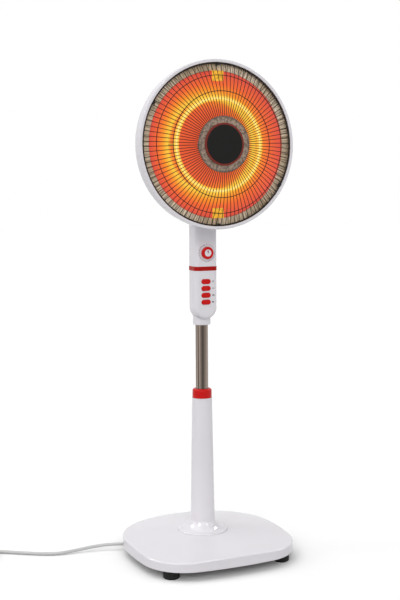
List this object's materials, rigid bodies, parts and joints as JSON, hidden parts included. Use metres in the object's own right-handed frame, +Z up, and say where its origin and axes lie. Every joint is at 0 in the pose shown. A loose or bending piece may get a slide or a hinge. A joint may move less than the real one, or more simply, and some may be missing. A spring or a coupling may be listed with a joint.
{
  "type": "parabolic heater",
  "caption": "Free-standing electric dish heater with a wire grille, tilting and swinging head, control column, height-adjustable mast and weighted rounded base.",
  "frame": {"origin": "on the floor, under the middle of the base's bounding box", "axes": "+Z up, the heater faces -Y, +X to the right as seen from the front"},
  "size_m": [0.7495, 0.4497, 1.1133],
  "materials": {
    "white_plastic": "gloss white moulding",
    "red_plastic": "gloss red moulding",
    "black_plastic": "satin black moulding",
    "grey_plastic": "plain moulding, hidden",
    "cord_grey": "soft pale grey jacket",
    "rubber": "matte black",
    "mast_steel": "polished steel tube",
    "steel": "zinc plated",
    "hub_steel": "warm grey hammered finish",
    "iron": "rough casting",
    "black_wire": "black enamelled wire",
    "dish_metal": "bright rolled sheet",
    "ceramic": "unglazed",
    "quartz": "clear quartz",
    "glow": "glowing heating wire",
    "pin_brass": "bright"
  },
  "bodies": {
    "base": {"base_cover": "white_plastic", "base_plate": "black_wire", "rubber_feet": "rubber", "foot_screws": "steel", "ballast_weight": "iron", "tip_switch": "grey_plastic", "tube_flange": "steel", "flange_bolts": "steel", "outer_tube": "steel", "column_cover": "white_plastic", "collet": "grey_plastic", "cord_gland": "black_plastic", "cord_lead": "cord_grey", "cord_coil": "cord_grey", "cord_tie": "black_plastic", "plug_body": "cord_grey", "plug_pins": "pin_brass"},
    "lock": {"lock_collar": "red_plastic"},
    "mast": {"mast_tube": "mast_steel", "mast_bush": "grey_plastic", "mast_socket": "white_plastic", "control_front": "white_plastic", "control_rear": "white_plastic", "neck_front": "white_plastic", "neck_rear": "white_plastic", "trim_band": "red_plastic", "housing_screws": "steel", "switch_block": "grey_plastic", "timer_switch": "steel", "swing_motor": "steel", "swing_bush": "grey_plastic"},
    "button_1": {"push_button_1": "red_plastic"},
    "button_2": {"push_button_2": "red_plastic"},
    "button_3": {"push_button_3": "red_plastic"},
    "button_4": {"push_button_4": "red_plastic"},
    "knob": {"timer_knob": "red_plastic", "knob_cap": "white_plastic"},
    "yoke": {"swing_shaft": "steel", "tilt_yoke": "white_plastic", "tilt_bolt": "steel", "tilt_nut": "steel"},
    "head": {"head_bracket": "white_plastic", "head_screws": "steel", "rear_shell": "white_plastic", "front_bezel": "white_plastic", "reflector": "dish_metal", "lamp_tube": "quartz", "filament": "glow", "lamp_legs": "ceramic", "lamp_posts": "steel", "dish_hub": "steel", "dish_spacer": "ceramic", "terminal_block": "grey_plastic", "thermal_cutout": "steel", "grille": "black_wire", "grille_hub": "hub_steel", "badge_ring": "red_plastic", "badge": "black_plastic", "grille_stays": "dish_metal", "grille_clips": "black_wire"}
  },
  "joints": [
    {"name": "mast_slide", "type": "slide", "parent": "base", "child": "mast", "axis": [0, 0, 1], "range_m": [-0.14, 0.11]},
    {"name": "lock_collar_turn", "type": "hinge", "parent": "base", "child": "lock", "pos_m": [0, 0.013, 0.372], "axis": [0, 0, 1], "range_deg": [0, 60]},
    {"name": "head_swing", "type": "hinge", "parent": "mast", "child": "yoke", "pos_m": [0, 0.005, 0.785], "axis": [0, 0, 1], "range_deg": [-35, 35]},
    {"name": "head_tilt", "type": "hinge", "parent": "yoke", "child": "head", "pos_m": [0, 0.009, 0.812], "axis": [-1, 0, 0], "range_deg": [-6, 20]},
    {"name": "timer_knob_turn", "type": "hinge", "parent": "mast", "child": "knob", "pos_m": [0, -0.0178, 0.694], "axis": [0, 1, 0], "range_deg": [0, 300]},
    {"name": "button_1_press", "type": "slide", "parent": "mast", "child": "button_1", "axis": [0, 1, 0], "range_m": [0, 0.0025], "stiffness_N_per_m": 600, "springref_m": -0.001},
    {"name": "button_2_press", "type": "slide", "parent": "mast", "child": "button_2", "axis": [0, 1, 0], "range_m": [0, 0.0025], "stiffness_N_per_m": 600, "springref_m": -0.001},
    {"name": "button_3_press", "type": "slide", "parent": "mast", "child": "button_3", "axis": [0, 1, 0], "range_m": [0, 0.0025], "stiffness_N_per_m": 600, "springref_m": -0.001},
    {"name": "button_4_press", "type": "slide", "parent": "mast", "child": "button_4", "axis": [0, 1, 0], "range_m": [0, 0.0025], "stiffness_N_per_m": 600, "springref_m": -0.001}
  ]
}
